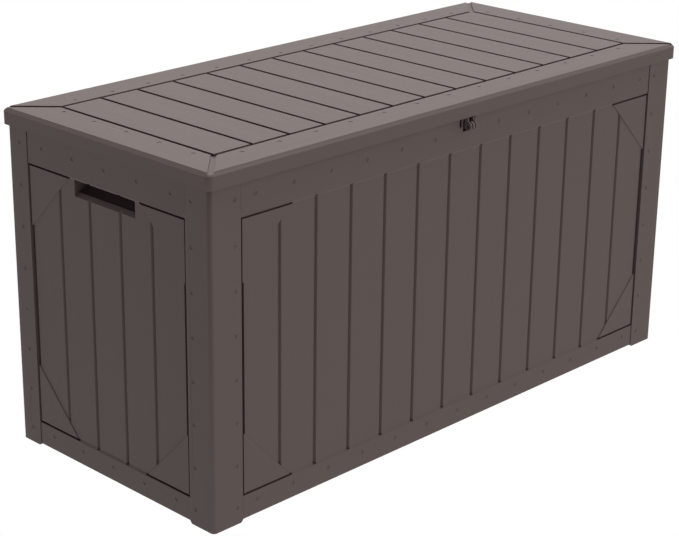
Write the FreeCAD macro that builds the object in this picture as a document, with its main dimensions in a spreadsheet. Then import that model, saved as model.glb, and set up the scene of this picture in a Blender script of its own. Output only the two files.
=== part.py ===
"""Resin deck storage box: four board-pattern walls slid into corner posts, a floor and a hinged lid.

Millimetres, +Z up. The origin is on the ground at the centre of the footprint, X runs along the
length, the front wall faces -Y and the lid hinges along the back.
"""
import FreeCAD, Part

import math
import os

import Sketcher

SIZES = [
    # outer body and lid
    ("body_length", 1216, "outside of the posts, left to right"),
    ("body_depth", 520, "outside of the posts, front to back"),
    ("wall_top", 617.5, "top of the walls, inside the lid"),
    ("wall_foot", 4.5, "lower edge of the walls; only the posts reach the ground"),
    ("lid_length", 1230, "left to right"),
    ("lid_depth", 534, "front to back"),
    ("lid_bottom", 596.5, "lower edge of the lid's rim"),
    ("lid_top", 625.5, "top of the lid's boards"),
    ("lid_skin", 7.5, "top thickness"),
    ("lid_board_wall", 3.5, "thickness of the boards, hollowed from below"),
    ("lid_cell_inset", 7, "solid strip beside each groove"),
    ("lid_rim_wall", 3.2, "thickness of the rim"),
    ("lid_corner", 11, "plan radius of the lid's corners"),
    ("lid_edge", 6, "chamfer round the lid's top"),
    # corner posts
    ("long_leg", 66, "post face on the front and back"),
    ("short_leg_front", 58, "front posts' face on the ends"),
    ("short_leg_back", 52, "back posts' face on the ends"),
    ("post_wall", 4, "post thickness between its channels"),
    ("post_lip", 7.7, "post thickness in front of the channel"),
    ("channel_back", 12.7, "depth of the channel's far side"),
    ("flange_back", 15.7, "depth of the channel flange's inner face"),
    ("flange_inset", 4, "post edge to flange edge"),
    ("channel_floor", 17, "post edge to the channel's bottom"),
    ("channel_root", 20, "post edge to the web's corner side"),
    ("post_round", 7, "radius of the post's outer corner"),
    ("post_web", 4, "thickness of the webs across the post"),
    ("post_ramp", 4, "ramp at the inner ends of the feet"),
    # walls
    ("tongue_inset", 16, "post edge to the end of the wall's tongue"),
    ("seam", 1.2, "gap between post and rail"),
    ("rail_face", 1, "rail face behind the post face"),
    ("board_face", 3, "board face behind the post face"),
    ("sheet_face", 8, "tongue face behind the post face"),
    ("wall_sheet", 4.4, "thickness of the boards and tongues"),
    ("rail_skin", 3, "thickness of the hollow rails"),
    ("rib_width", 3, "thickness of the rails' and the floor's ribs"),
    ("groove_rib", 8, "width of the ribs behind the grooves"),
    ("boards_bottom", 51, "top of the bottom rail"),
    ("boards_top", 533, "bottom of the top rail"),
    ("rail_slope", 5, "height of the slope from rail to boards"),
    ("groove_width", 8, "V between two boards, at the face"),
    ("groove_floor", 3, "width at its bottom"),
    ("groove_deep", 3.8, "depth of the V"),
    ("groove_run", 3.6, "how far the V runs into the slopes of the rails"),
    ("stile_width", 8, "channel beside each post, down to the tongue's face"),
    ("front_pitch", 82.7, "board width on the front, back and lid"),
    ("side_pitch", 80, "board width on the ends"),
    ("gusset_leg", 110, "corner triangle's legs"),
    ("gusset_face", 1.5, "gusset face behind the post face"),
    ("gusset_gap", 4, "slot round the gusset"),
    ("gusset_slot", 6, "depth of that slot behind the post face"),
    ("gusset_chamfer", 1, "chamfer on the gusset's long edge"),
    ("ledge_reach_end", 12, "floor ledge on the ends, out from the boards"),
    ("ledge_reach_long", 4, "floor ledge on the front and back"),
    ("ledge_top", 26, "height of the ledge"),
    ("ledge_thick", 4, "thickness of the ledge"),
    # hand grips
    ("grip_half", 79, "half the width of the hand grip"),
    ("grip_low", 505, "lower edge of its mouth"),
    ("grip_high", 535, "upper edge of its mouth"),
    ("grip_lip", 7, "chamfer on the lower lip"),
    ("grip_deep", 34, "depth of the pocket behind the post face"),
    ("grip_step", 14, "rise of its sloping floor"),
    ("grip_wall", 3, "thickness of the cup"),
    # nail-head dimples
    ("nail_radius", 4, "radius at the face"),
    ("nail_deep", 0.9, "depth"),
    ("nail_taper", 40, "slope of its side, degrees"),
    ("nail_inset_long", 13.5, "post dimples from the post's edge, on the front and back"),
    ("nail_inset_front", 14, "the same on the ends, front posts"),
    ("nail_inset_back", 20, "the same on the ends, back posts"),
    ("nail_low", 31, "lowest dimple"),
    ("nail_rise", 77, "step up the posts"),
    ("nail_rail", 571, "dimples of the top rail"),
    ("nail_step_front", 85, "step along the front rails"),
    ("nail_step_side", 83.5, "step along the side rails"),
    # floor
    ("floor_gap", 0.6, "floor edge to the walls"),
    ("floor_thick", 4, "floor thickness"),
    ("floor_notch_long", 67, "corner notch along the length"),
    ("floor_notch_short", 59, "corner notch along the depth"),
    ("floor_rib_high", 11, "ribs under the floor"),
    ("floor_rib_pitch", 108, "spacing of those ribs"),
    # lid pattern
    ("field_long", 540, "centre of the border groove, along the length"),
    ("field_short", 195.5, "centre of the border groove, along the depth"),
    ("lid_groove_width", 7, "groove between lid boards"),
    ("lid_groove_deep", 4.5, "its depth"),
    ("mitre_width", 10, "channel along each mitre"),
    ("mitre_deep", 3.2, "its depth"),
    ("lid_nail_short", 213.5, "dimples of the long frame boards"),
    ("lid_nail_long", 557.5, "dimples of the end frame boards"),
    # lid ribs and tubes
    ("lid_rib_wall", 2.5, "rib thickness"),
    ("lid_rib_low", 600, "lower edge of the ribs"),
    ("lid_rib_front", 236, "front rib, forward of the centre"),
    ("lid_rib_back", 232, "back rib, behind the centre"),
    ("lid_rib_pitch", 186, "spacing of the cross ribs"),
    ("tube_radius", 9.5, "outside radius of the steel tubes"),
    ("tube_wall", 1.2, "tube wall"),
    ("tube_play", 0.1, "tube to its seat"),
    ("tube_half", 571, "half the tube's length"),
    ("tube_offset", 120, "tube from the lid's centre line"),
    ("tube_height", 607, "height of the tube's centre"),
    ("plug_cap", 2, "thickness of the plug's cap"),
    ("plug_length", 12, "plug inside the tube"),
    # hinges
    ("axis_back", 269.2, "hinge axis behind the centre"),
    ("axis_height", 588, "hinge axis above the ground"),
    ("hinge_pitch", 400, "spacing of the hinges"),
    ("hinge_half", 35, "half the hinge's width"),
    ("knuckle_radius", 5.7, "outside of the knuckles"),
    ("knuckle_half", 11.8, "half the lid knuckle's width"),
    ("knuckle_gap", 0.4, "gap between knuckles"),
    ("pin_radius", 2.5, "hinge pin"),
    ("pin_play", 0.06, "pin to knuckle"),
    ("pin_end", 1.5, "pin past the last knuckle"),
    ("pin_head", 2, "height of the pin's head, and how far it is wider"),
    ("leaf_thick", 2.5, "hinge leaves"),
    ("leaf_drop", 40, "base leaf below the axis"),
    ("leaf_rise", 4, "base leaf above the axis"),
    ("leaf_low", 9, "lid leaf's plate above the axis, lower edge"),
    ("leaf_high", 30, "and its upper edge"),
    ("leaf_screw_side", 23, "screws from the hinge's middle"),
    ("base_screw_drop", 28, "base leaf screws below the axis"),
    ("lid_screw_rise", 20, "lid leaf screws above the axis"),
    # screws
    ("screw_radius", 2, "screw shank"),
    ("screw_play", 0.1, "shank to hole"),
    ("head_radius", 4, "screw head"),
    ("head_high", 1.8, "height of the head"),
    ("socket_radius", 1.5, "drive socket across corners, halved"),
    ("socket_deep", 1.1, "depth of the socket"),
    ("screw_blind", 0.8, "screw tips short of the far face"),
    ("rail_screw", 9, "hinge screws in the back rail"),
    ("corner_screw_inset", 10, "post edge to the corner screws"),
    ("corner_screw_low", 100, "lowest corner screw"),
    ("corner_screw_rise", 205, "step between corner screws"),
    # padlock eyes
    ("eye_height", 581, "centre of the padlock hole"),
    ("eye_forward", 267.4, "centre of the padlock hole, forward of the box's centre"),
    ("eye_bore", 4.5, "radius of the padlock hole"),
    ("eye_radius", 7.5, "outside of the eyes"),
    ("niche_half", 11.5, "half the width of the niche behind the eyes"),
    ("niche_low", 570, "its lower edge"),
    ("niche_high", 593, "its upper edge"),
    ("niche_bevel", 4, "its bevelled upper corners"),
    ("niche_back", 11, "its back behind the post face"),
    ("niche_wall", 2.5, "its thickness"),
    ("lug_half", 2.5, "half the thickness of the body's eye"),
    ("lug_plate_half", 10.5, "half the width of its plate"),
    ("lug_plate_thick", 2.5, "thickness of its plate"),
    ("lug_plate_half_high", 9, "half the height of its plate"),
    ("lug_screw_side", 6.8, "its screws from the middle"),
    ("hasp_inner", 5.4, "lid eyes' inner faces from the middle"),
    ("hasp_outer", 9, "lid eyes' outer faces"),
    ("hasp_plate_half", 21, "half the width of the hasp's plate inside the rim"),
    ("hasp_plate_thick", 1.8, "thickness of that plate"),
    ("hasp_plate_low", 597, "lower edge of that plate"),
    ("hasp_plate_high", 614, "top of that plate"),
    ("hasp_play", 1.5, "lid eyes' back edge in front of the rail"),
    ("hasp_screw_side", 15, "its screws from the middle"),
    ("hasp_screw_high", 606, "height of those screws"),
    ("window_side", 18, "side slots from the middle"),
    ("window_half", 2.7, "half the width of the side slots"),
    ("window_low", 579, "lower end of the side slots"),
    ("window_high", 594, "upper end of the side slots"),
    # cutting tools
    ("over", 1, "how far a cutting tool passes a face"),
]

doc = FreeCAD.newDocument("DeckBox")
sheet = doc.addObject("Spreadsheet::Sheet", "Sizes")
for row, (alias, number, note) in enumerate(SIZES, 1):
    sheet.set("A%d" % row, alias)
    sheet.set("B%d" % row, str(number))
    sheet.set("C%d" % row, note)
    sheet.setAlias("B%d" % row, alias)
doc.recompute()


# ---------------------------------------------------------------- expressions

def ref(text):
    """Turn a formula written with bare aliases into one that names the sheet's cells."""
    aliases = {alias for alias, number, note in SIZES}
    out = []
    word = ""
    for letter in text + " ":
        if letter.isalnum() or letter in "_.":
            word += letter
            continue
        out.append("Sizes." + word if word in aliases else word)
        out.append(letter)
        word = ""
    return "".join(out).strip()


def size(text):
    """The formula's value as a plain number."""
    return float(sheet.evalExpression(ref(text)))


def bind(thing, prop, text):
    thing.setExpression(prop, ref(text))


def times(sign, text):
    """The formula with a sign in front."""
    return "%d * (%s)" % (sign, text)


# ---------------------------------------------------------------- PartDesign helpers

def new_body(label):
    made = doc.addObject("PartDesign::Body", label)
    made.Label = label
    return made


def new_sketch(body, role, offset="0"):
    """A sketch on one of the body's own origin planes, moved along its normal."""
    plane = [item for item in body.Origin.OriginFeatures if item.Role == role][0]
    made = body.newObject("Sketcher::SketchObject", body.Label + "_sketch")
    made.AttachmentSupport = [(plane, "")]
    made.MapMode = "FlatFace"
    bind(made, "AttachmentOffset.Base.z", offset)
    return made


def fix_point(sketch, geometry, which, across, up):
    """Tie one point of the sketch to two formulas, measured from the sketch's origin."""
    for kind, text in (("DistanceX", across), ("DistanceY", up)):
        number = sketch.addConstraint(Sketcher.Constraint(kind, -1, 1, geometry, which, size(text)))
        sketch.setExpression("Constraints[%d]" % number, ref(text))


def outline(sketch, points):
    """A closed polygon whose corners follow the sheet."""
    places = [FreeCAD.Vector(size(across), size(up), 0) for across, up in points]
    first = sketch.GeometryCount
    count = len(points)
    for index in range(count):
        sketch.addGeometry(Part.LineSegment(places[index], places[(index + 1) % count]), False)
    for index in range(count):
        follower = first + (index + 1) % count
        sketch.addConstraint(Sketcher.Constraint("Coincident", first + index, 2, follower, 1))
    for index, (across, up) in enumerate(points):
        fix_point(sketch, first + index, 1, across, up)


def rectangle(sketch, left, low, right, high):
    outline(sketch, [(left, low), (right, low), (right, high), (left, high)])


def circle(sketch, across, up, radius):
    spot = FreeCAD.Vector(size(across), size(up), 0)
    index = sketch.addGeometry(Part.Circle(spot, FreeCAD.Vector(0, 0, 1), size(radius)), False)
    fix_point(sketch, index, 3, across, up)
    number = sketch.addConstraint(Sketcher.Constraint("Radius", index, size(radius)))
    sketch.setExpression("Constraints[%d]" % number, ref(radius))


def add(body, kind, sketch, length, backwards=False, taper="0"):
    """Pad or pocket a sketch by a length, along or against its normal."""
    before = body.Shape.Volume if body.Tip else 0
    made = body.newObject("PartDesign::" + kind, body.Label + "_" + kind.lower())
    made.Profile = sketch
    made.Type = "Length"
    made.Reversed = backwards
    bind(made, "TaperAngle", taper)
    bind(made, "Length", length)
    sketch.Visibility = False
    doc.recompute()
    gained = body.Shape.Volume - before
    if (kind == "Pad") != (gained > 0) or abs(gained) < 1e-6:
        raise RuntimeError("%s changed nothing or went the wrong way: %.3f" % (made.Label, gained))
    return made


def repeat(body, feature, role, pitch, count):
    """Copies of a feature at even steps along one of the body's axes."""
    axis = [item for item in body.Origin.OriginFeatures if item.Role == role][0]
    made = body.newObject("PartDesign::LinearPattern", feature.Label + "_row")
    made.Originals = [feature]
    made.Direction = (axis, [""])
    made.Mode = "Extent"
    bind(made, "Length", "(%s) * %d" % (pitch, count - 1))
    made.Occurrences = count
    body.Tip = made
    doc.recompute()
    return made


def dress(body, kind, amount, wanted):
    """Fillet or chamfer the edges of the body's tip that the test accepts."""
    tip = body.Tip
    names = []
    for index, edge in enumerate(tip.Shape.Edges, 1):
        if len(edge.Vertexes) == 2 and wanted(edge.Vertexes[0].Point, edge.Vertexes[1].Point):
            names.append("Edge%d" % index)
    made = body.newObject("PartDesign::" + kind, body.Label + "_" + kind.lower())
    made.Base = (tip, names)
    bind(made, "Radius" if kind == "Fillet" else "Size", amount)
    doc.recompute()
    return made


def near(first, second, slack=0.01):
    return abs(first - second) < slack


# ---------------------------------------------------------------- walls

def wall_panel(label, left, right, pitch, boards, first_groove, reach):
    """One wall in its own frame: X along it, +Y into the box, the posts' outer face at y = 0.

    left and right are the posts' inner edges, first_groove is the groove next to the left one and
    reach is how far the floor's ledge stands out from the boards.
    """
    body = new_body(label)

    # base sheet; its two ends are the tongues in the posts' channels
    face = new_sketch(body, "XZ_Plane", "-sheet_face")
    tongue_left = "%s - tongue_inset" % left
    tongue_right = "%s + tongue_inset" % right
    rectangle(face, tongue_left, "wall_foot", tongue_right, "wall_top")
    add(body, "Pad", face, "wall_sheet", backwards=True)

    # rails, each with a slope down to the boards
    rails = new_sketch(body, "YZ_Plane", "%s + seam" % left)
    outline(rails, [("rail_face", "wall_foot"), ("sheet_face", "wall_foot"), ("sheet_face", "boards_bottom"),
                    ("board_face", "boards_bottom"), ("rail_face", "boards_bottom - rail_slope")])
    outline(rails, [("rail_face", "boards_top + rail_slope"), ("board_face", "boards_top"),
                    ("sheet_face", "boards_top"), ("sheet_face", "wall_top"), ("rail_face", "wall_top")])
    add(body, "Pad", rails, "(%s) - (%s) - 2 * seam" % (right, left))

    # the field of boards, which leaves a channel beside each post
    field = new_sketch(body, "XZ_Plane", "-board_face")
    rectangle(field, "%s + stile_width" % left, "boards_bottom", "%s - stile_width" % right, "boards_top")
    add(body, "Pad", field, "sheet_face - board_face", backwards=True)

    # V grooves between the boards, run out on the rails' slopes
    groove = new_sketch(body, "XY_Plane", "boards_bottom - groove_run")
    face_left = "%s - groove_width / 2" % first_groove
    face_right = "%s + groove_width / 2" % first_groove
    outline(groove, [(face_left, "rail_face"), (face_right, "rail_face"), (face_right, "board_face"),
                     ("%s + groove_floor / 2" % first_groove, "board_face + groove_deep"),
                     ("%s - groove_floor / 2" % first_groove, "board_face + groove_deep"),
                     (face_left, "board_face")])
    cut = add(body, "Pocket", groove, "boards_top - boards_bottom + 2 * groove_run", backwards=True)
    repeat(body, cut, "X_Axis", pitch, boards - 1)

    # corner gussets, over the rails' slopes
    corner = new_sketch(body, "XZ_Plane", "-gusset_face")
    slots = new_sketch(body, "XZ_Plane", "-rail_face")
    for edge, inward in ((left, 1), (right, -1)):
        for rail, climb in (("boards_bottom", 1), ("boards_top", -1)):
            heel = "(%s) + %d * gusset_gap" % (edge, inward)
            level = "%s - %d * rail_slope" % (rail, climb)
            tip = "(%s) + %d * (gusset_leg + rail_slope)" % (edge, inward)
            peak = "%s + %d * gusset_leg" % (rail, climb)
            outline(corner, [(heel, level), (tip, level), (heel, peak)])
            rectangle(slots, edge, "%s - %d * gusset_gap" % (rail, climb), tip, rail)
    add(body, "Pad", corner, "sheet_face - gusset_face", backwards=True)
    gusset_depth = size("gusset_face")
    dress(body, "Chamfer", "gusset_chamfer",
          lambda a, b: near(a.y, gusset_depth) and near(b.y, gusset_depth)
          and abs(a.x - b.x) > 20 and abs(a.z - b.z) > 20)

    # rails and boards are hollow behind; ribs stay behind the grooves
    hollow = new_sketch(body, "XZ_Plane", "-(sheet_face + wall_sheet)")
    half_rib = "rib_width / 2"
    cell_left = "%s - (%s) + %s" % (first_groove, pitch, half_rib)
    cell_right = "%s - %s" % (first_groove, half_rib)
    rectangle(hollow, cell_left, "wall_foot + rail_skin", cell_right, "boards_bottom - 2 * rail_skin")
    rectangle(hollow, cell_left, "boards_top + 2 * rail_skin", cell_right, "wall_top - rail_skin")
    cells = add(body, "Pocket", hollow, "sheet_face + wall_sheet - rail_face - rail_skin", True)
    repeat(body, cells, "X_Axis", pitch, boards)
    low = "boards_bottom + rail_skin"
    high = "boards_top - rail_skin"
    hollow = new_sketch(body, "XZ_Plane", "-(sheet_face + wall_sheet)")
    rectangle(hollow, "%s + groove_rib / 2" % first_groove, low,
              "%s + %s - groove_rib / 2" % (first_groove, pitch), high)
    cells = add(body, "Pocket", hollow, "sheet_face - board_face", True)
    repeat(body, cells, "X_Axis", pitch, boards - 2)
    hollow = new_sketch(body, "XZ_Plane", "-(sheet_face + wall_sheet)")
    last_groove = "%s + %d * %s" % (first_groove, boards - 2, pitch)
    rectangle(hollow, "%s + stile_width + rib_width" % left, low, "%s - groove_rib / 2" % first_groove, high)
    rectangle(hollow, "%s + groove_rib / 2" % last_groove, low, "%s - stile_width - rib_width" % right, high)
    add(body, "Pocket", hollow, "sheet_face - board_face", True)

    # slots that part the gussets from the rails
    add(body, "Pocket", slots, "gusset_slot - rail_face")

    # ledge that carries the floor
    ledge = new_sketch(body, "YZ_Plane", "%s + 2 * seam" % left)
    rectangle(ledge, "rail_face + rail_skin / 2", "ledge_top - ledge_thick",
              "sheet_face + wall_sheet + " + reach, "ledge_top")
    add(body, "Pad", ledge, "(%s) - (%s) - 4 * seam" % (right, left))
    return body


def rail_nails(body, step, reach, skip_middle=False):
    """Dimples along both rails, at even steps either side of the wall's middle."""
    marks = new_sketch(body, "XZ_Plane", "-rail_face")
    for height in ("nail_low", "nail_rail"):
        for index in range(-reach, reach + 1):
            if skip_middle and index == 0 and height == "nail_rail":
                continue
            circle(marks, "%d * %s" % (index, step), height, "nail_radius")
    add(body, "Pocket", marks, "nail_deep", taper="-nail_taper")


def corner_screw_holes(body, left, right):
    """Holes in the tongues for the screws through the posts' flanges."""
    holes = new_sketch(body, "XZ_Plane", "-sheet_face")
    for edge, outward in ((left, -1), (right, 1)):
        for index in range(3):
            circle(holes, "(%s) + %d * corner_screw_inset" % (edge, outward),
                   "corner_screw_low + %d * corner_screw_rise" % index, "screw_radius + screw_play")
    add(body, "Pocket", holes, "wall_sheet")


def niche_outline(grow):
    """Front view of the niche: a rectangle with bevelled upper corners, grown by a thickness."""
    half = "(niche_half + %s)" % grow
    top = "niche_high + " + grow
    return [("-" + half, "niche_low - " + grow), (half, "niche_low - " + grow),
            (half, top + " - niche_bevel"), (half + " - niche_bevel", top),
            ("-%s + niche_bevel" % half, top), ("-" + half, top + " - niche_bevel")]


def front_panel():
    left = "-(body_length / 2 - long_leg)"
    right = "body_length / 2 - long_leg"
    body = wall_panel("front_panel", left, right, "front_pitch", 13, "-5.5 * front_pitch", "ledge_reach_long")
    rail_nails(body, "nail_step_front", 6, skip_middle=True)
    corner_screw_holes(body, left, right)
    slots = new_sketch(body, "XZ_Plane", "-rail_face")
    for side in (-1, 1):
        rectangle(slots, "%d * window_side - window_half" % side, "window_low",
                  "%d * window_side + window_half" % side, "window_high")
    add(body, "Pocket", slots, "rail_skin + over")

    # niche behind the padlock eyes
    cup = new_sketch(body, "XZ_Plane", "-(rail_face + rail_skin)")
    outline(cup, niche_outline("niche_wall"))
    add(body, "Pad", cup, "niche_back + niche_wall - rail_face - rail_skin", backwards=True)
    mouth = new_sketch(body, "XZ_Plane", "-rail_face")
    outline(mouth, niche_outline("0"))
    add(body, "Pocket", mouth, "niche_back - rail_face")
    holes = new_sketch(body, "XZ_Plane", "-niche_back")
    for side in (-1, 1):
        circle(holes, "%d * lug_screw_side" % side, "eye_height", "screw_radius + screw_play")
    add(body, "Pocket", holes, "niche_wall")
    bind(body, "Placement.Base.y", "-body_depth / 2")
    return body


def back_panel():
    left = "-(body_length / 2 - long_leg)"
    right = "body_length / 2 - long_leg"
    body = wall_panel("back_panel", left, right, "front_pitch", 13, "-5.5 * front_pitch", "ledge_reach_long")
    rail_nails(body, "nail_step_front", 6)
    corner_screw_holes(body, left, right)
    holes = new_sketch(body, "XZ_Plane", "-rail_face")
    for hinge in (-1, 0, 1):
        for side in (-1, 1):
            circle(holes, "%d * hinge_pitch + %d * leaf_screw_side" % (hinge, side),
                   "axis_height - base_screw_drop", "screw_radius + screw_play")
    add(body, "Pocket", holes, "rail_skin + over")
    body.Placement.Rotation = FreeCAD.Rotation(FreeCAD.Vector(0, 0, 1), 180)
    bind(body, "Placement.Base.y", "body_depth / 2")
    return body


def grip_inside():
    """Section of the hand grip's pocket: depth and height."""
    floor = "grip_low + grip_lip"
    return [("board_face - over", "grip_low"), ("board_face", "grip_low"), ("board_face + grip_lip", floor),
            ("grip_deep / 2", floor), ("grip_deep", "grip_low + grip_step"), ("grip_deep", "grip_high"),
            ("board_face - over", "grip_high")]


def grip_outside():
    """Section of the cup round the pocket, from the back of the boards."""
    front = "board_face + wall_sheet"
    deep = "grip_deep + grip_wall"
    return [(front, "grip_low - grip_wall"), ("grip_deep / 2 + grip_wall", "grip_low + grip_lip - grip_wall"),
            (deep, "grip_low + grip_step - grip_wall"), (deep, "grip_high + grip_wall"),
            (front, "grip_high + grip_wall")]


def side_panel(label, turn, front_sign):
    """An end wall with a hand grip; front_sign says which end of its X axis is the front."""
    front = "body_depth / 2 - short_leg_front"
    back = "body_depth / 2 - short_leg_back"
    left = times(-1, back if front_sign > 0 else front)
    right = front if front_sign > 0 else back
    middle = "%d * (short_leg_back - short_leg_front) / 2" % front_sign
    body = wall_panel(label, left, right, "side_pitch", 5, "%s - 1.5 * side_pitch" % middle,
                      "ledge_reach_end")
    rail_nails(body, "nail_step_side", 2)
    corner_screw_holes(body, left, right)
    cup = new_sketch(body, "YZ_Plane", "%s - grip_half - grip_wall" % middle)
    outline(cup, grip_outside())
    add(body, "Pad", cup, "2 * (grip_half + grip_wall)")
    mouth = new_sketch(body, "YZ_Plane", "%s - grip_half" % middle)
    outline(mouth, grip_inside())
    add(body, "Pocket", mouth, "2 * grip_half", backwards=True)
    body.Placement.Rotation = FreeCAD.Rotation(FreeCAD.Vector(0, 0, 1), turn)
    bind(body, "Placement.Base.x", times(1 if turn > 0 else -1, "body_length / 2"))
    return body


# ---------------------------------------------------------------- corner posts

def post_section(long_leg, short_leg):
    """The post's plan from its outer corner: two legs, each ending in a channel for a tongue."""
    return [("0", "0"), (long_leg, "0"), (long_leg, "post_lip"),
            (long_leg + " - channel_floor", "post_lip"), (long_leg + " - channel_floor", "channel_back"),
            (long_leg + " - flange_inset", "channel_back"), (long_leg + " - flange_inset", "flange_back"),
            (long_leg + " - channel_root", "flange_back"), (long_leg + " - channel_root", "post_wall"),
            ("post_wall", "post_wall"), ("post_wall", short_leg + " - channel_root"),
            ("flange_back", short_leg + " - channel_root"), ("flange_back", short_leg + " - flange_inset"),
            ("channel_back", short_leg + " - flange_inset"), ("channel_back", short_leg + " - channel_floor"),
            ("post_lip", short_leg + " - channel_floor"), ("post_lip", short_leg), ("0", short_leg)]


def corner_post(label, side, end):
    """An L-shaped post; side is -1 on the left, end is -1 at the front."""
    body = new_body(label)
    short_leg = "short_leg_front" if end < 0 else "short_leg_back"
    corner_across = times(side, "body_length / 2")
    corner_up = times(end, "body_depth / 2")

    def across(text):
        return "%s - %d * (%s)" % (corner_across, side, text)

    def up(text):
        return "%s - %d * (%s)" % (corner_up, end, text)

    plan = new_sketch(body, "XY_Plane")
    outline(plan, [(across(u), up(v)) for u, v in post_section("long_leg", short_leg)])
    add(body, "Pad", plan, "wall_top")

    # webs tie the two legs together; the lowest one is the foot
    web = new_sketch(body, "XY_Plane")
    rectangle(web, across("post_wall"), up("post_wall"), across("long_leg - channel_root"),
              up(short_leg + " - channel_root"))
    plate = add(body, "Pad", web, "post_web")
    repeat(body, plate, "Z_Axis", "(wall_top - post_web) / 3", 4)

    x_corner = size(corner_across)
    y_corner = size(corner_up)
    dress(body, "Fillet", "post_round",
          lambda a, b: near(a.x, x_corner) and near(b.x, x_corner) and near(a.y, y_corner)
          and near(b.y, y_corner))

    # ramps at the two ends of the foot
    ramp = new_sketch(body, "XZ_Plane", times(-1, up("0")) if end < 0 else times(-1, up("post_lip")))
    outline(ramp, [(across("long_leg - post_ramp"), "0"), (across("long_leg + over"), "-over"),
                   (across("long_leg + over"), "post_ramp"), (across("long_leg"), "post_ramp")])
    add(body, "Pocket", ramp, "post_lip")
    ramp = new_sketch(body, "YZ_Plane", across("post_lip") if side < 0 else across("0"))
    outline(ramp, [(up(short_leg + " - post_ramp"), "0"), (up(short_leg + " + over"), "-over"),
                   (up(short_leg + " + over"), "post_ramp"), (up(short_leg), "post_ramp")])
    add(body, "Pocket", ramp, "post_lip")

    # dimples up both faces
    marks = new_sketch(body, "XZ_Plane", times(-1, up("0")))
    for index in range(8):
        circle(marks, across("long_leg - nail_inset_long"), "nail_low + %d * nail_rise" % index,
               "nail_radius")
    add(body, "Pocket", marks, "nail_deep", backwards=end > 0, taper="-nail_taper")
    marks = new_sketch(body, "YZ_Plane", across("0"))
    inset = "nail_inset_front" if end < 0 else "nail_inset_back"
    for index in range(8):
        circle(marks, up("%s - %s" % (short_leg, inset)), "nail_low + %d * nail_rise" % index,
               "nail_radius")
    add(body, "Pocket", marks, "nail_deep", backwards=side < 0, taper="-nail_taper")

    # holes through the flanges for the corner screws
    holes = new_sketch(body, "XZ_Plane", times(-1, up("channel_back")))
    for index in range(3):
        circle(holes, across("long_leg - corner_screw_inset"),
               "corner_screw_low + %d * corner_screw_rise" % index, "screw_radius + screw_play")
    add(body, "Pocket", holes, "flange_back - channel_back", backwards=end > 0)
    holes = new_sketch(body, "YZ_Plane", across("channel_back"))
    for index in range(3):
        circle(holes, up(short_leg + " - corner_screw_inset"),
               "corner_screw_low + %d * corner_screw_rise" % index, "screw_radius + screw_play")
    add(body, "Pocket", holes, "flange_back - channel_back", backwards=side < 0)
    return body


# ---------------------------------------------------------------- floor

def floor_panel():
    """The floor, notched round the posts, with ribs underneath; it rests on the walls' ledges."""
    body = new_body("floor_panel")
    wide = "(body_length / 2 - sheet_face - wall_sheet - floor_gap)"
    deep = "(body_depth / 2 - sheet_face - wall_sheet - floor_gap)"
    notch_x = "(body_length / 2 - floor_notch_long)"
    notch_front = "(body_depth / 2 - floor_notch_short)"
    plan = new_sketch(body, "XY_Plane", "ledge_top")
    corners = []
    for x_sign, y_sign in ((-1, -1), (1, -1), (1, 1), (-1, 1)):
        outer_y = (times(x_sign, notch_x), times(y_sign, deep))
        inner = (times(x_sign, notch_x), times(y_sign, notch_front))
        outer_x = (times(x_sign, wide), times(y_sign, notch_front))
        ordered = [outer_x, inner, outer_y]
        corners += ordered if x_sign == y_sign else ordered[::-1]
    outline(plan, corners)
    add(body, "Pad", plan, "floor_thick")

    ledge_line = "(body_depth / 2 - sheet_face - wall_sheet - ledge_reach_end - 2)"
    rib = new_sketch(body, "XY_Plane", "ledge_top")
    rectangle(rib, "-5 * floor_rib_pitch - rib_width / 2", times(-1, notch_front),
              "-5 * floor_rib_pitch + rib_width / 2", notch_front)
    beam = add(body, "Pad", rib, "floor_rib_high", backwards=True)
    repeat(body, beam, "X_Axis", "floor_rib_pitch", 11)
    rib = new_sketch(body, "XY_Plane", "ledge_top")
    for offset in ("-%s" % ledge_line, "-floor_rib_pitch", "0", "floor_rib_pitch", ledge_line):
        rectangle(rib, "-5 * floor_rib_pitch", "%s - rib_width / 2" % offset,
                  "5 * floor_rib_pitch", "%s + rib_width / 2" % offset)
    add(body, "Pad", rib, "floor_rib_high", backwards=True)
    return body


# ---------------------------------------------------------------- lid

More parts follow.
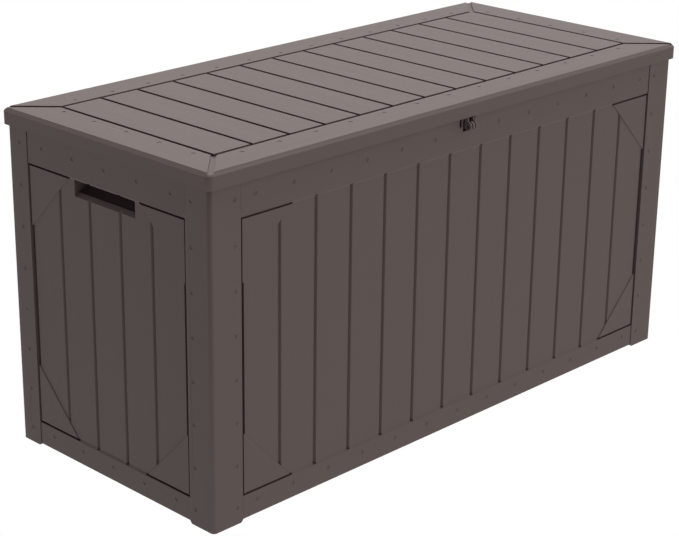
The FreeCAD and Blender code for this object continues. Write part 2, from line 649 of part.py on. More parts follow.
def lid_shell():
    """The lid: thirteen boards in a mitred frame on top, a deep rim and ribs below."""
    body = new_body("lid_shell")
    plan = new_sketch(body, "XY_Plane", "lid_bottom")
    rectangle(plan, "-lid_length / 2", "-lid_depth / 2", "lid_length / 2", "lid_depth / 2")
    add(body, "Pad", plan, "lid_top - lid_bottom")
    dress(body, "Fillet", "lid_corner", lambda a, b: abs(a.z - b.z) > 5)
    top = size("lid_top")
    dress(body, "Chamfer", "lid_edge", lambda a, b: near(a.z, top) and near(b.z, top))

    cavity = new_sketch(body, "XY_Plane", "lid_bottom")
    rectangle(cavity, "-lid_length / 2 + lid_rim_wall", "-lid_depth / 2 + lid_rim_wall",
              "lid_length / 2 - lid_rim_wall", "lid_depth / 2 - lid_rim_wall")
    add(body, "Pocket", cavity, "lid_top - lid_skin - lid_bottom", backwards=True)

    # each board is hollowed from below
    hollow = new_sketch(body, "XY_Plane", "lid_top - lid_skin")
    cell_half = "(front_pitch / 2 - lid_cell_inset)"
    rectangle(hollow, "-6 * front_pitch - " + cell_half, "-field_short + lid_cell_inset",
              "-6 * front_pitch + " + cell_half, "field_short - lid_cell_inset")
    cells = add(body, "Pocket", hollow, "lid_skin - lid_board_wall", backwards=True)
    repeat(body, cells, "X_Axis", "front_pitch", 13)

    # ribs under the top, between the walls when the lid is shut
    ribs = new_sketch(body, "XY_Plane", "lid_rib_low")
    half_rib = "lid_rib_wall / 2"
    rib_height = "lid_top - lid_board_wall - lid_rib_low"
    rectangle(ribs, "-3 * lid_rib_pitch - " + half_rib, "-lid_rib_front",
              "-3 * lid_rib_pitch + " + half_rib, "lid_rib_back")
    cross = add(body, "Pad", ribs, rib_height)
    repeat(body, cross, "X_Axis", "lid_rib_pitch", 7)
    ribs = new_sketch(body, "XY_Plane", "lid_rib_low")
    for line in ("-lid_rib_front + " + half_rib, "0", "lid_rib_back - " + half_rib):
        rectangle(ribs, "-3 * lid_rib_pitch", "%s - %s" % (line, half_rib),
                  "3 * lid_rib_pitch", "%s + %s" % (line, half_rib))
    add(body, "Pad", ribs, rib_height)

    # grooves between the boards, the border groove and the mitres
    half_groove = "lid_groove_width / 2"
    groove = new_sketch(body, "XY_Plane", "lid_top")
    first = "-5.5 * front_pitch"
    rectangle(groove, "%s - %s" % (first, half_groove), "-field_short",
              "%s + %s" % (first, half_groove), "field_short")
    cut = add(body, "Pocket", groove, "lid_groove_deep")
    repeat(body, cut, "X_Axis", "front_pitch", 12)
    border = new_sketch(body, "XY_Plane", "lid_top")
    for sign in ("+", "-"):
        along = "field_long %s %s" % (sign, half_groove)
        over = "field_short %s %s" % (sign, half_groove)
        rectangle(border, times(-1, along), times(-1, over), along, over)
    add(body, "Pocket", border, "lid_groove_deep")
    mitre = new_sketch(body, "XY_Plane", "lid_top")
    half_width = "mitre_width / 2 * %.6f" % math.cos(math.pi / 4)
    for x_sign, y_sign in ((-1, -1), (1, -1), (1, 1), (-1, 1)):
        run = []
        for along, over, shift in (("field_long", "field_short", -1), ("lid_length / 2 + 5", "", -1),
                                   ("lid_length / 2 + 5", "", 1), ("field_long", "field_short", 1)):
            climb = over or "field_short + lid_length / 2 + 5 - field_long"
            run.append((times(x_sign, "%s + %d * %s" % (along, shift, half_width)),
                        times(y_sign, "%s - %d * %s" % (climb, shift, half_width))))
        outline(mitre, run)
    add(body, "Pocket", mitre, "mitre_deep")

    # dimples of the frame boards
    marks = new_sketch(body, "XY_Plane", "lid_top")
    for side in (-1, 1):
        for index in range(-6, 7):
            circle(marks, "%d * front_pitch" % index, times(side, "lid_nail_short"), "nail_radius")
        for index in range(-2, 3):
            circle(marks, times(side, "lid_nail_long"), "%d * nail_step_side" % index, "nail_radius")
    add(body, "Pocket", marks, "nail_deep", taper="-nail_taper")

    # seats for the two steel tubes, open below so that the tubes snap in
    seats = new_sketch(body, "YZ_Plane", "-tube_half - 5")
    for side in (-1, 1):
        circle(seats, times(side, "tube_offset"), "tube_height", "tube_radius + tube_play")
    add(body, "Pocket", seats, "2 * tube_half + 10", backwards=True)

    # screw holes through the back rim for the hinges, and blind ones inside the front rim
    holes = new_sketch(body, "XZ_Plane", "-lid_depth / 2")
    for hinge in (-1, 0, 1):
        for side in (-1, 1):
            circle(holes, "%d * hinge_pitch + %d * leaf_screw_side" % (hinge, side),
                   "axis_height + lid_screw_rise", "screw_radius + screw_play")
    add(body, "Pocket", holes, "lid_rim_wall + over", backwards=True)
    holes = new_sketch(body, "XZ_Plane", "lid_depth / 2 - screw_blind / 2")
    for side in (-1, 1):
        circle(holes, "%d * hasp_screw_side" % side, "hasp_screw_high", "screw_radius + screw_play")
    add(body, "Pocket", holes, "lid_rim_wall + over")
    return body


# ---------------------------------------------------------------- Part helpers

def block(name, spans):
    """A box from its lowest and highest corners, each given as three formulas."""
    made = doc.addObject("Part::Box", name)
    for prop, axis, (low, high) in zip(("Length", "Width", "Height"), "xyz", spans):
        bind(made, prop, "(%s) - (%s)" % (high, low))
        bind(made, "Placement.Base." + axis, low)
    return made


def rod(name, direction, start, length, radius):
    """A cylinder along X or Y (a vector), from a start point of three formulas."""
    made = doc.addObject("Part::Cylinder", name)
    bind(made, "Radius", radius)
    bind(made, "Height", length)
    made.Placement.Rotation = FreeCAD.Rotation(FreeCAD.Vector(0, 0, 1), direction)
    for axis, text in zip("xyz", start):
        bind(made, "Placement.Base." + axis, text)
    return made


def join(name, pieces):
    made = doc.addObject("Part::MultiFuse", name)
    made.Shapes = pieces
    made.Refine = True
    return made


def subtract(name, base, tools):
    made = doc.addObject("Part::Cut", name)
    made.Base = base
    made.Tool = tools[0] if len(tools) == 1 else join(name + "_tools", tools)
    made.Refine = True
    return made


ALONG_X = FreeCAD.Vector(1, 0, 0)
ALONG_Y = FreeCAD.Vector(0, 1, 0)
BACK_TO_FRONT = FreeCAD.Vector(0, -1, 0)


def group(label, pieces):
    """Separate solids that share one node."""
    made = doc.addObject("Part::Compound", label)
    made.Label = label
    made.Links = pieces
    return made


def screw(name, direction, seat, shank):
    """A pan-head screw: seat is the point under its head, direction the way it is driven."""
    sign = int(direction.x + direction.y)
    axis = "x" if direction.x else "y"
    place = dict(zip("xyz", seat))

    def along(text):
        moved = dict(place)
        moved[axis] = "%s + %d * (%s)" % (place[axis], sign, text)
        return [moved[letter] for letter in "xyz"]

    head = rod(name + "_head", direction, along("-head_high"), "head_high", "head_radius")
    body = rod(name + "_shank", direction, along("0"), shank, "screw_radius")
    socket = doc.addObject("Part::Prism", name + "_socket")
    socket.Polygon = 6
    bind(socket, "Circumradius", "socket_radius")
    bind(socket, "Height", "socket_deep")
    socket.Placement.Rotation = FreeCAD.Rotation(FreeCAD.Vector(0, 0, 1), direction)
    for letter, text in zip("xyz", along("-head_high")):
        bind(socket, "Placement.Base." + letter, text)
    return subtract(name, join(name + "_solid", [head, body]), [socket])


# ---------------------------------------------------------------- lid tubes

def lid_tube(label, side):
    """A steel stiffening tube under the lid's boards."""
    start = ["-tube_half", times(side, "tube_offset"), "tube_height"]
    outer = rod(label + "_outer", ALONG_X, start, "2 * tube_half", "tube_radius")
    inner = rod(label + "_inner", ALONG_X, start, "2 * tube_half", "tube_radius - tube_wall")
    made = subtract(label, outer, [inner])
    made.Label = label
    return made


def tube_plugs():
    """A plug in each end of both tubes."""
    plugs = []
    for side in (-1, 1):
        for end in (-1, 1):
            name = "plug_%d_%d" % (side + 1, end + 1)
            offset = times(side, "tube_offset")
            outward = ALONG_X * end
            cap = rod(name + "_cap", outward, [times(end, "tube_half"), offset, "tube_height"],
                      "plug_cap", "tube_radius")
            root = times(end, "tube_half - plug_length")
            spigot = rod(name + "_spigot", outward, [root, offset, "tube_height"],
                         "plug_length", "tube_radius - tube_wall")
            plugs.append(join(name, [cap, spigot]))
    return group("tube_plugs", plugs)


# ---------------------------------------------------------------- hinges

def on_axis(text):
    """A height or depth counted from the hinge axis."""
    return "axis_height + (%s)" % text


def hinge_base(label, middle):
    """Base leaf: a plate on the back rail and two knuckles."""
    rail = "body_depth / 2 - rail_face"
    left = "%s - hinge_half" % middle
    right = "%s + hinge_half" % middle
    inner = "(knuckle_half + knuckle_gap)"
    plate = block(label + "_plate", [(left, right), (rail, rail + " + leaf_thick"),
                                     (on_axis("-leaf_drop"), on_axis("leaf_rise"))])
    pieces = [plate]
    for name, low, high in (("left", left, "%s - %s" % (middle, inner)),
                            ("right", "%s + %s" % (middle, inner), right)):
        length = "(%s) - (%s)" % (high, low)
        pieces.append(rod("%s_%s_knuckle" % (label, name), ALONG_X,
                          [low, "axis_back", "axis_height"], length, "knuckle_radius"))
        pieces.append(block("%s_%s_arm" % (label, name), [(low, high), (rail, "axis_back"),
                                                          (on_axis("-knuckle_radius"), on_axis("0"))]))
    tools = [rod(label + "_bore", ALONG_X, [left + " - over", "axis_back", "axis_height"],
                 "2 * (hinge_half + over)", "pin_radius + pin_play")]
    for side in (-1, 1):
        tools.append(rod("%s_hole_%d" % (label, side + 1), ALONG_Y,
                         ["%s + %d * leaf_screw_side" % (middle, side), rail + " - over",
                          on_axis("-base_screw_drop")], "leaf_thick + 2 * over", "screw_radius + screw_play"))
    made = subtract(label, join(label + "_solid", pieces), tools)
    made.Label = label
    return made


def lid_leaf(label, middle):
    """Lid leaf: a plate on the lid's back rim and the middle knuckle."""
    rim = "lid_depth / 2"
    outside = rim + " + leaf_thick"
    plate = block(label + "_plate", [("%s - hinge_half" % middle, "%s + hinge_half" % middle),
                                     (rim, outside), (on_axis("leaf_low"), on_axis("leaf_high"))])
    neck = block(label + "_neck", [("%s - knuckle_half" % middle, "%s + knuckle_half" % middle),
                                   (rim, outside), (on_axis("0"), on_axis("leaf_low + over"))])
    knuckle = rod(label + "_knuckle", ALONG_X, ["%s - knuckle_half" % middle, "axis_back", "axis_height"],
                  "2 * knuckle_half", "knuckle_radius")
    tools = [rod(label + "_bore", ALONG_X, ["%s - knuckle_half - over" % middle, "axis_back", "axis_height"],
                 "2 * (knuckle_half + over)", "pin_radius + pin_play")]
    for side in (-1, 1):
        tools.append(rod("%s_hole_%d" % (label, side + 1), ALONG_Y,
                         ["%s + %d * leaf_screw_side" % (middle, side), rim + " - over",
                          on_axis("lid_screw_rise")], "leaf_thick + 2 * over", "screw_radius + screw_play"))
    made = subtract(label, join(label + "_solid", [plate, neck, knuckle]), tools)
    made.Label = label
    return made


def hinge_pin(label, middle):
    """A headed pin through all three knuckles."""
    start = "%s - hinge_half" % middle
    shaft = rod(label + "_shaft", ALONG_X, [start, "axis_back", "axis_height"],
                "2 * hinge_half + pin_end", "pin_radius")
    head = rod(label + "_head", ALONG_X, [start + " - pin_head", "axis_back", "axis_height"],
               "pin_head", "pin_radius + pin_head")
    made = join(label, [shaft, head])
    made.Label = label
    return made


def hinge_screws():
    """The screws of all the hinges: into the back rail, and into the lid's rim."""
    base = []
    lid = []
    for hinge in (-1, 0, 1):
        for side in (-1, 1):
            name = "%d_%d" % (hinge + 1, side + 1)
            across = "%d * hinge_pitch + %d * leaf_screw_side" % (hinge, side)
            base.append(screw("base_screw_" + name, BACK_TO_FRONT,
                              [across, "body_depth / 2 - rail_face + leaf_thick",
                               on_axis("-base_screw_drop")], "rail_screw"))
            lid.append(screw("lid_screw_" + name, BACK_TO_FRONT,
                             [across, "lid_depth / 2 + leaf_thick", on_axis("lid_screw_rise")],
                             "leaf_thick + lid_rim_wall + screw_blind"))
    return [group("hinge_base_screws", base), group("lid_hinge_screws", lid)]


# ---------------------------------------------------------------- padlock eyes

def padlock_lug():
    """The body's eye: a plate on the back of the niche with one upright ring."""
    back = "(-body_depth / 2 + niche_back)"
    front = back + " - lug_plate_thick"
    plate = block("lug_plate", [("-lug_plate_half", "lug_plate_half"), (front, back),
                                ("eye_height - lug_plate_half_high", "eye_height + lug_plate_half_high")])
    ring = rod("lug_ring", ALONG_X, ["-lug_half", "-eye_forward", "eye_height"], "2 * lug_half",
               "eye_radius")
    neck = block("lug_neck", [("-lug_half", "lug_half"), ("-eye_forward", back),
                              ("eye_height - eye_radius", "eye_height + eye_radius")])
    tools = [rod("lug_bore", ALONG_X, ["-lug_half - over", "-eye_forward", "eye_height"],
                 "2 * (lug_half + over)", "eye_bore")]
    for side in (-1, 1):
        tools.append(rod("lug_hole_%d" % (side + 1), ALONG_Y,
                         ["%d * lug_screw_side" % side, front + " + screw_blind / 2", "eye_height"],
                         "lug_plate_thick", "screw_radius + screw_play"))
    made = subtract("padlock_lug", join("lug_solid", [plate, ring, neck]), tools)
    made.Label = "padlock_lug"
    return made


def lid_hasp():
    """The lid's eyes: a plate inside the rim with a ring hanging each side of the body's eye."""
    rim = "(-lid_depth / 2 + lid_rim_wall)"
    inside = rim + " + hasp_plate_thick"
    behind = "(-body_depth / 2 + rail_face - hasp_play)"
    pieces = [block("hasp_plate", [("-hasp_plate_half", "hasp_plate_half"), (rim, inside),
                                   ("hasp_plate_low", "hasp_plate_high")])]
    tools = [rod("hasp_bore", ALONG_X, ["-hasp_outer - over", "-eye_forward", "eye_height"],
                 "2 * (hasp_outer + over)", "eye_bore"),
             block("hasp_back", [("-hasp_outer - over", "hasp_outer + over"),
                                 (behind, behind + " + eye_radius"),
                                 ("eye_height - eye_radius - over", "hasp_plate_low")])]
    for side in (-1, 1):
        low, high = ("-hasp_outer", "-hasp_inner") if side < 0 else ("hasp_inner", "hasp_outer")
        pieces.append(rod("hasp_ring_%d" % (side + 1), ALONG_X, [low, "-eye_forward", "eye_height"],
                          "hasp_outer - hasp_inner", "eye_radius"))
        pieces.append(block("hasp_arm_%d" % (side + 1),
                            [(low, high), ("-eye_forward", behind),
                             ("eye_height", "lid_bottom - seam")]))
        pieces.append(block("hasp_root_%d" % (side + 1),
                            [(low, high), (rim, inside), ("lid_bottom - over", "hasp_plate_low + over")]))
        tools.append(rod("hasp_hole_%d" % (side + 1), ALONG_Y,
                         ["%d * hasp_screw_side" % side, rim + " - over", "hasp_screw_high"],
                         "hasp_plate_thick + 2 * over", "screw_radius + screw_play"))
    made = subtract("lid_hasp", join("hasp_solid", pieces), tools)
    made.Label = "lid_hasp"
    return made


def eye_screws():
    """Screws from inside: two into the body's eye and two into the lid's rim."""
    lug = []
    hasp = []
    for side in (-1, 1):
        lug.append(screw("lug_screw_%d" % (side + 1), BACK_TO_FRONT,
                         ["%d * lug_screw_side" % side, "-body_depth / 2 + niche_back + niche_wall",
                          "eye_height"], "niche_wall + lug_plate_thick - screw_blind"))
        hasp.append(screw("hasp_screw_%d" % (side + 1), BACK_TO_FRONT,
                          ["%d * hasp_screw_side" % side,
                           "-lid_depth / 2 + lid_rim_wall + hasp_plate_thick", "hasp_screw_high"],
                          "lid_rim_wall + hasp_plate_thick - screw_blind"))
    return [group("padlock_lug_screws", lug), group("lid_hasp_screws", hasp)]


# ---------------------------------------------------------------- corner screws

def corner_screws():
    """Screws from inside, through each post's flanges into the walls' tongues."""
    pieces = []
    shank = "flange_back - sheet_face - 0.6"
    for side in (-1, 1):
        for end in (-1, 1):
            short_leg = "short_leg_front" if end < 0 else "short_leg_back"
            for index in range(3):
                name = "%d_%d_%d" % (side + 1, end + 1, index)
                height = "corner_screw_low + %d * corner_screw_rise" % index
                across = times(side, "body_length / 2 - long_leg + corner_screw_inset")
                deep = times(end, "body_depth / 2 - flange_back")
                pieces.append(screw("long_screw_" + name, ALONG_Y * end, [across, deep, height], shank))
                across = times(side, "body_length / 2 - flange_back")
                deep = times(end, "body_depth / 2 - %s + corner_screw_inset" % short_leg)
                pieces.append(screw("short_screw_" + name, ALONG_X * side, [across, deep, height], shank))
    return group("corner_screws", pieces)


# ---------------------------------------------------------------- the whole box

def build_all():
    made = [front_panel(), back_panel(), side_panel("left_side_panel", -90, 1),
            side_panel("right_side_panel", 90, -1), floor_panel()]
    for label, side, end in (("front_left_post", -1, -1), ("front_right_post", 1, -1),
                             ("back_left_post", -1, 1), ("back_right_post", 1, 1)):
        made.append(corner_post(label, side, end))
    made.append(lid_shell())
    made += [lid_tube("lid_tube_front", -1), lid_tube("lid_tube_rear", 1), tube_plugs()]
    for name, middle in (("left", "-hinge_pitch"), ("centre", "0"), ("right", "hinge_pitch")):
        made.append(hinge_base("hinge_base_" + name, middle))
        made.append(lid_leaf("lid_hinge_leaf_" + name, middle))
        made.append(hinge_pin("hinge_pin_" + name, middle))
    made += hinge_screws()
    made += [padlock_lug(), lid_hasp()] + eye_screws()
    made.append(corner_screws())
    return made


def check_all(parts):
    """Stop on any failed object, and on a sub-part that is null or not valid."""
    doc.recompute()
    for item in doc.Objects:
        if "Invalid" in item.State or "Error" in item.State:
            raise RuntimeError("%s failed: %s" % (item.Label, item.State))
    for part in parts:
        if part.Shape.isNull() or not part.Shape.isValid():
            raise RuntimeError("%s has no valid shape" % part.Label)


def write_all(parts):
    os.makedirs("parts", exist_ok=True)
    for part in parts:
        part.Shape.exportStep("parts/%s.step" % part.Label)
        box = part.Shape.BoundBox
        print("%-24s solids %2d  volume %11.1f  x %.1f %.1f  y %.1f %.1f  z %.1f %.1f"
              % (part.Label, len(part.Shape.Solids), part.Shape.Volume, box.XMin, box.XMax,
                 box.YMin, box.YMax, box.ZMin, box.ZMax))


box_parts = build_all()
check_all(box_parts)
write_all(box_parts)
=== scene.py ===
"""Looks of the deck storage box: brown resin with a faint wood grain, on a white studio floor."""
import math

import bpy
from mathutils import Matrix, Vector

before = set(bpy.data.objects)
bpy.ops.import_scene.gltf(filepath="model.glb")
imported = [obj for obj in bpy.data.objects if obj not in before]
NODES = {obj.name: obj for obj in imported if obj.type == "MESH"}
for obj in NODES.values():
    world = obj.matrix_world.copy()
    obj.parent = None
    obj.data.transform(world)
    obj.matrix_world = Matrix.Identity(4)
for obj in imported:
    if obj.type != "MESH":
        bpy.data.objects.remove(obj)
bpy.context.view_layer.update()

# ---------------------------------------------------------------- the board pattern, in metres

BOARD_PITCH = 0.0827
SIDE_PITCH = 0.080
RAIL_BOTTOM_TOP = 0.0490       # the boards run between these two heights
RAIL_TOP_BOTTOM = 0.5350
FIELD_LONG = 0.540             # the lid's board field, half sizes
FIELD_SHORT = 0.1955

# ---------------------------------------------------------------- colours, linear

RESIN = (0.0900, 0.0640, 0.0588)
RESIN_INSIDE = (0.0870, 0.0618, 0.0568)

BLACK_PLASTIC = (0.02, 0.02, 0.02)
TUBE_COAT = (0.05, 0.042, 0.04)
PIN_PLATING = (0.55, 0.55, 0.56)
SCREW_PLATING = (0.5, 0.5, 0.51)

# ---------------------------------------------------------------- grain, as noise scales per metre

GRAIN_SQUEEZE = 0.035          # how much longer the grain is along the board than across it
GRAIN_STREAKS = 260.0
GRAIN_BROAD = 42.0
RESIN_STIPPLE = 2300.0
RESIN_CLOUD = 3.0
PLAIN_STIPPLE = 1800.0
PLAIN_CLOUD = 8.0
STEEL_MARKS = 1500.0
STEEL_CLOUD = 40.0
COAT_PEEL = 900.0

# ---------------------------------------------------------------- edges

EDGE_WIDTHS = {"lid": 0.0012, "front": 0.0012, "side": 0.0012, "post": 0.0016, "floor": 0.0006,
               "hinge": 0.0005, "eye": 0.0008, "plug": 0.0004, "tube": 0.0002, "pin": 0.0003,
               "screw": 0.0002}
WELD_DISTANCE = 0.00002
FLAT_DEGREES = 0.6             # faces that differ by less are joined
SHARP_DEGREES = 28             # edges sharper than this are softened

# ---------------------------------------------------------------- light and camera

SKY_BACK = 1.8
SKY_RIGHT = 1.0
SKY_FRONT = 0.2
OVERHEAD_WATTS = 144.0
OVERHEAD_HEIGHT = 4.5
OVERHEAD_SIZE = 2.4
SPECULAR = 0.3
STAGE_HALF = 30.0
STAGE_DROP = 0.0004            # the floor lies this far below the feet
CAMERA_PLACE = (-2.4053, -2.2856, 1.4814)
CAMERA_AZIMUTH = 44.497        # degrees, from +Y towards +X
CAMERA_DROP = 20.494
CAMERA_ROLL = 0.225
CAMERA_LENS = 98.2
CAMERA_SHIFT = 0.0605


# ---------------------------------------------------------------- node helpers

class Graph:
    """Short calls for building one material's nodes."""

    def __init__(self, name):
        self.material = bpy.data.materials.new(name)
        self.material.use_nodes = True
        self.tree = self.material.node_tree
        self.tree.nodes.clear()

    def node(self, kind, **settings):
        made = self.tree.nodes.new(kind)
        for key, value in settings.items():
            setattr(made, key, value)
        return made

    def link(self, source, target):
        self.tree.links.new(source, target)

    def feed(self, socket, value):
        """Link a socket, or set its value."""
        if isinstance(value, bpy.types.NodeSocket):
            self.link(value, socket)
        else:
            socket.default_value = value

    def math(self, operation, first, second=0.0, clamp=False):
        made = self.node("ShaderNodeMath", operation=operation, use_clamp=clamp)
        self.feed(made.inputs[0], first)
        self.feed(made.inputs[1], second)
        return made.outputs[0]

    def mix(self, share, first, second):
        """A number between two numbers."""
        made = self.node("ShaderNodeMix", data_type="FLOAT")
        self.feed(made.inputs["Factor"], share)
        self.feed(made.inputs["A"], first)
        self.feed(made.inputs["B"], second)
        return made.outputs["Result"]

    def combine(self, x, y, z):
        made = self.node("ShaderNodeCombineXYZ")
        for socket, value in zip(made.inputs, (x, y, z)):
            self.feed(socket, value)
        return made.outputs[0]

    def sum(self, base, *shares):
        """A number plus each value times its weight."""
        total = base
        for value, weight in shares:
            total = self.math("ADD", total, self.math("MULTIPLY", value, weight))
        return total

    def spot(self):
        """The point's place in the frame, as a vector."""
        return self.node("ShaderNodeTexCoord").outputs["Object"]

    def place(self):
        """The point's place in the frame, as three numbers."""
        split = self.node("ShaderNodeSeparateXYZ")
        self.link(self.spot(), split.inputs[0])
        return split.outputs[0], split.outputs[1], split.outputs[2]

    def noise(self, vector, scale, detail=2.0, roughness=0.5):
        made = self.node("ShaderNodeTexNoise")
        self.feed(made.inputs["Vector"], vector)
        made.inputs["Scale"].default_value = scale
        made.inputs["Detail"].default_value = detail
        made.inputs["Roughness"].default_value = roughness
        return made.outputs["Fac"]

    def above(self, value, edge):
        return self.math("GREATER_THAN", value, edge)

    def shade(self, colour, lightness):
        """A colour times a number."""
        made = self.node("ShaderNodeVectorMath", operation="SCALE")
        made.inputs[0].default_value = colour
        self.feed(made.inputs["Scale"], lightness)
        return made.outputs[0]

    def finish(self, colour, roughness, height=None, bump_distance=0.0002, bump_strength=1.0,
               metallic=0.0, specular=SPECULAR):
        shader = self.node("ShaderNodeBsdfPrincipled")
        self.feed(shader.inputs["Base Color"], colour)
        self.feed(shader.inputs["Roughness"], roughness)
        shader.inputs["Metallic"].default_value = metallic
        shader.inputs["Specular IOR Level"].default_value = specular
        if height is not None:
            bump = self.node("ShaderNodeBump")
            bump.inputs["Strength"].default_value = bump_strength
            bump.inputs["Distance"].default_value = bump_distance
            self.link(height, bump.inputs["Height"])
            self.link(bump.outputs[0], shader.inputs["Normal"])
        output = self.node("ShaderNodeOutputMaterial")
        self.link(shader.outputs[0], output.inputs[0])
        return self.material


# ---------------------------------------------------------------- materials

def grain_vector(graph, along_x, along_y):
    """The place squeezed along the grain, which runs along X, Y or Z by the two masks."""
    x, y, z = graph.place()
    keep_x = graph.mix(along_x, 1.0, GRAIN_SQUEEZE)
    keep_y = graph.mix(along_y, 1.0, GRAIN_SQUEEZE)
    upright = graph.math("SUBTRACT", 1.0, graph.math("MAXIMUM", along_x, along_y))
    keep_z = graph.mix(upright, 1.0, GRAIN_SQUEEZE)
    return graph.combine(graph.math("MULTIPLY", x, keep_x), graph.math("MULTIPLY", y, keep_y),
                         graph.math("MULTIPLY", z, keep_z))


def board_tone(graph, across, pitch):
    """A slightly different number for each board, from 0 to 1."""
    number = graph.math("FLOOR", graph.math("ADD", graph.math("DIVIDE", across, pitch), 0.5))
    made = graph.node("ShaderNodeTexWhiteNoise", noise_dimensions="1D")
    graph.link(number, made.inputs["W"])
    return made.outputs["Value"]


def resin_body(graph, vector, tone, colour):
    """Brown resin with embossed grain: colour, roughness and height from one set of noises."""
    where = graph.spot()
    streaks = graph.noise(vector, GRAIN_STREAKS, 4.0, 0.6)
    broad = graph.noise(vector, GRAIN_BROAD, 3.0, 0.55)
    stipple = graph.noise(where, RESIN_STIPPLE, 2.0, 0.5)
    cloud = graph.noise(where, RESIN_CLOUD, 3.0, 0.5)
    lightness = graph.sum(0.955, (streaks, 0.04), (broad, 0.03), (cloud, 0.02), (tone, 0.012))
    rough = graph.sum(0.50, (streaks, 0.10), (broad, 0.06))
    height = graph.sum(0.0, (streaks, 0.75), (broad, 0.6), (stipple, 0.25))
    return graph.finish(graph.shade(colour, lightness), rough, height, bump_distance=0.00028,
                        bump_strength=0.5)


def wall_material(name, runs_along_x, pitch):
    """A wall: upright grain on the boards, lying grain on the two rails."""
    graph = Graph(name)
    x, y, z = graph.place()
    rail = graph.math("MAXIMUM", graph.above(z, RAIL_TOP_BOTTOM),
                      graph.math("LESS_THAN", z, RAIL_BOTTOM_TOP))
    along_x = rail if runs_along_x else 0.0
    along_y = 0.0 if runs_along_x else rail
    tone = board_tone(graph, x if runs_along_x else y, pitch)
    return resin_body(graph, grain_vector(graph, along_x, along_y), tone, RESIN)


def post_material():
    graph = Graph("post_resin_grain")
    return resin_body(graph, grain_vector(graph, 0.0, 0.0), 0.5, RESIN)


def lid_material():
    """The lid: grain front to back on the boards, along each frame board up to its mitre."""
    graph = Graph("lid_resin_grain")
    x, y, z = graph.place()
    from_end = graph.math("SUBTRACT", graph.math("ABSOLUTE", x), FIELD_LONG)
    from_side = graph.math("SUBTRACT", graph.math("ABSOLUTE", y), FIELD_SHORT)
    outside = graph.above(graph.math("MAXIMUM", from_end, from_side), 0.0)
    long_frame = graph.math("MULTIPLY", outside, graph.above(from_side, from_end))
    along_y = graph.math("SUBTRACT", 1.0, long_frame)
    tone = board_tone(graph, x, BOARD_PITCH)
    return resin_body(graph, grain_vector(graph, long_frame, along_y), tone, RESIN)


def plain_resin(name, colour, roughness):
    """Moulded plastic with a fine spark-eroded texture."""
    graph = Graph(name)
    where = graph.spot()
    stipple = graph.noise(where, PLAIN_STIPPLE, 2.0)
    cloud = graph.noise(where, PLAIN_CLOUD, 3.0)
    lightness = graph.sum(0.95, (cloud, 0.06))
    rough = graph.sum(roughness, (stipple, 0.12))
    return graph.finish(graph.shade(colour, lightness), rough, stipple, bump_distance=0.0001,
                        bump_strength=0.4)


def steel(name, colour, roughness):
    """Plated steel with fine turning marks."""
    graph = Graph(name)
    where = graph.spot()
    marks = graph.noise(where, STEEL_MARKS, 3.0)
    cloud = graph.noise(where, STEEL_CLOUD, 2.0)
    lightness = graph.sum(0.85, (cloud, 0.2))
    rough = graph.sum(roughness, (marks, 0.15))
    return graph.finish(graph.shade(colour, lightness), rough, marks, bump_distance=0.00005,
                        bump_strength=0.3, metallic=1.0)


def coated_tube():
    """Powder-coated steel: orange-peel bump over a dark brown coat."""
    graph = Graph("tube_powder_coat")
    peel = graph.noise(graph.spot(), COAT_PEEL, 2.0)
    lightness = graph.sum(0.9, (peel, 0.15))
    return graph.finish(graph.shade(TUBE_COAT, lightness), 0.42, peel,
                        bump_distance=0.0001, bump_strength=0.3)


def make_materials():
    return {
        "front": wall_material("wall_grain_long", True, BOARD_PITCH),
        "side": wall_material("wall_grain_end", False, SIDE_PITCH),
        "post": post_material(),
        "lid": lid_material(),
        "floor": plain_resin("floor_resin_matte", RESIN_INSIDE, 0.55),
        "hinge": plain_resin("hinge_resin_satin", RESIN, 0.45),
        "eye": plain_resin("eye_resin_satin", RESIN, 0.45),
        "plug": plain_resin("plug_black", BLACK_PLASTIC, 0.5),
        "tube": coated_tube(),
        "pin": steel("pin_plated", PIN_PLATING, 0.3),
        "screw": steel("screw_plated", SCREW_PLATING, 0.35),
    }


def material_for(node):
    """Which material a node takes, from its name."""
    words = node.split("_")
    if "screws" in words:
        return "screw"
    if "pin" in words:
        return "pin"
    if "plugs" in words:
        return "plug"
    if "tube" in words:
        return "tube"
    if "hinge" in words:
        return "hinge"
    if "lug" in words or "hasp" in words:
        return "eye"
    if "post" in words:
        return "post"
    if "shell" in words:
        return "lid"
    if "floor" in words:
        return "floor"
    return "side" if "side" in words else "front"


def dress_node(thing, material, edge):
    """Give a CAD node its material and softened edges."""
    thing.data.materials.clear()
    thing.data.materials.append(material)
    weld = thing.modifiers.new("weld", "WELD")
    weld.merge_threshold = WELD_DISTANCE
    flat = thing.modifiers.new("flat", "DECIMATE")
    flat.decimate_type = "DISSOLVE"
    flat.angle_limit = math.radians(FLAT_DEGREES)
    soft = thing.modifiers.new("soft_edges", "BEVEL")
    soft.width = edge
    soft.segments = 2
    soft.limit_method = "ANGLE"
    soft.angle_limit = math.radians(SHARP_DEGREES)
    soft.harden_normals = True
    soft.use_clamp_overlap = True


def dress_all():
    materials = make_materials()
    for node, thing in NODES.items():
        kind = material_for(node)
        dress_node(thing, materials[kind], EDGE_WIDTHS[kind])


# ---------------------------------------------------------------- stage, light and camera

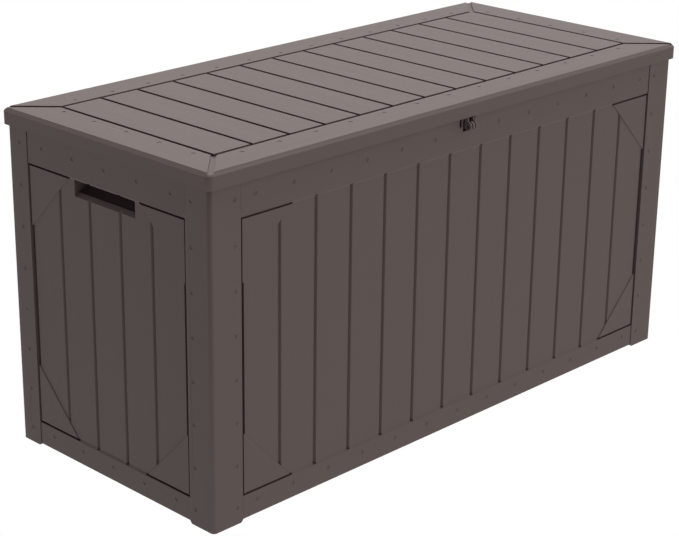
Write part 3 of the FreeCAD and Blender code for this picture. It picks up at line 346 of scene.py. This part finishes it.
def stage_floor():
    """A large sheet of evenly lit white acrylic: pure white, and it lights the walls from below."""
    mesh = bpy.data.meshes.new("studio_floor")
    corners = [(x * STAGE_HALF, y * STAGE_HALF, 0) for x, y in ((-1, -1), (1, -1), (1, 1), (-1, 1))]
    mesh.from_pydata(corners, [], [(0, 1, 2, 3)])
    thing = bpy.data.objects.new("studio_floor", mesh)
    bpy.context.scene.collection.objects.link(thing)
    thing.location.z = -STAGE_DROP
    graph = Graph("studio_floor_white")
    glow = graph.node("ShaderNodeEmission")
    glow.inputs["Strength"].default_value = 1.0
    output = graph.node("ShaderNodeOutputMaterial")
    graph.link(glow.outputs[0], output.inputs[0])
    mesh.materials.append(graph.material)


def area_light(name, place, target, size, power):
    data = bpy.data.lights.new(name, "AREA")
    data.shape = "RECTANGLE"
    data.size = size
    data.size_y = size
    data.energy = power
    thing = bpy.data.objects.new(name, data)
    bpy.context.scene.collection.objects.link(thing)
    thing.location = place
    thing.rotation_euler = (Vector(target) - Vector(place)).to_track_quat("-Z", "Y").to_euler()
    return thing


def sky_lobe(tree, where, direction, strength):
    """Light from one side of the sky, falling off with the cosine to a direction."""
    dot = tree.nodes.new("ShaderNodeVectorMath")
    dot.operation = "DOT_PRODUCT"
    dot.inputs[1].default_value = Vector(direction).normalized()
    tree.links.new(where.outputs["Generated"], dot.inputs[0])
    lobe = tree.nodes.new("ShaderNodeMapRange")
    lobe.inputs["From Min"].default_value = 0.0
    lobe.inputs["From Max"].default_value = 1.0
    lobe.inputs["To Min"].default_value = 0.0
    lobe.inputs["To Max"].default_value = strength
    tree.links.new(dot.outputs["Value"], lobe.inputs["Value"])
    return lobe.outputs[0]


def light_scene():
    """A bright backdrop behind the box, two weaker ones in front, and a soft box overhead."""
    world = bpy.data.worlds.new("studio_world")
    bpy.context.scene.world = world
    world.use_nodes = True
    tree = world.node_tree
    tree.nodes.clear()
    where = tree.nodes.new("ShaderNodeTexCoord")
    total = None
    for direction, strength in (((1, 1, 0), SKY_BACK), ((1, -1, 0), SKY_RIGHT),
                                ((-1, -1, 0), SKY_FRONT)):
        lobe = sky_lobe(tree, where, direction, strength)
        if total is None:
            total = lobe
            continue
        both = tree.nodes.new("ShaderNodeMath")
        both.operation = "ADD"
        tree.links.new(total, both.inputs[0])
        tree.links.new(lobe, both.inputs[1])
        total = both.outputs[0]
    background = tree.nodes.new("ShaderNodeBackground")
    output = tree.nodes.new("ShaderNodeOutputWorld")
    background.inputs["Color"].default_value = (1.0, 1.0, 1.0, 1.0)
    tree.links.new(total, background.inputs["Strength"])
    tree.links.new(background.outputs[0], output.inputs[0])
    area_light("overhead", (0.0, 0.0, OVERHEAD_HEIGHT), (0.0, 0.0, 0.0), OVERHEAD_SIZE, OVERHEAD_WATTS)


def make_camera():
    """The product shot: from the front left, looking down about twenty degrees."""
    azimuth = math.radians(CAMERA_AZIMUTH)
    drop = math.radians(CAMERA_DROP)
    roll = math.radians(CAMERA_ROLL)
    forward = Vector((math.sin(azimuth) * math.cos(drop), math.cos(azimuth) * math.cos(drop),
                      -math.sin(drop)))
    data = bpy.data.cameras.new("camera")
    data.sensor_width = 36.0
    data.lens = CAMERA_LENS
    data.shift_x = CAMERA_SHIFT
    data.clip_end = 100.0
    thing = bpy.data.objects.new("camera", data)
    bpy.context.scene.collection.objects.link(thing)
    turn = forward.to_track_quat("-Z", "Y").to_matrix().to_4x4() @ Matrix.Rotation(roll, 4, "Z")
    thing.matrix_world = Matrix.Translation(CAMERA_PLACE) @ turn
    bpy.context.scene.camera = thing


stage_floor()
light_scene()
make_camera()
bpy.context.scene.view_settings.view_transform = "Standard"
dress_all()
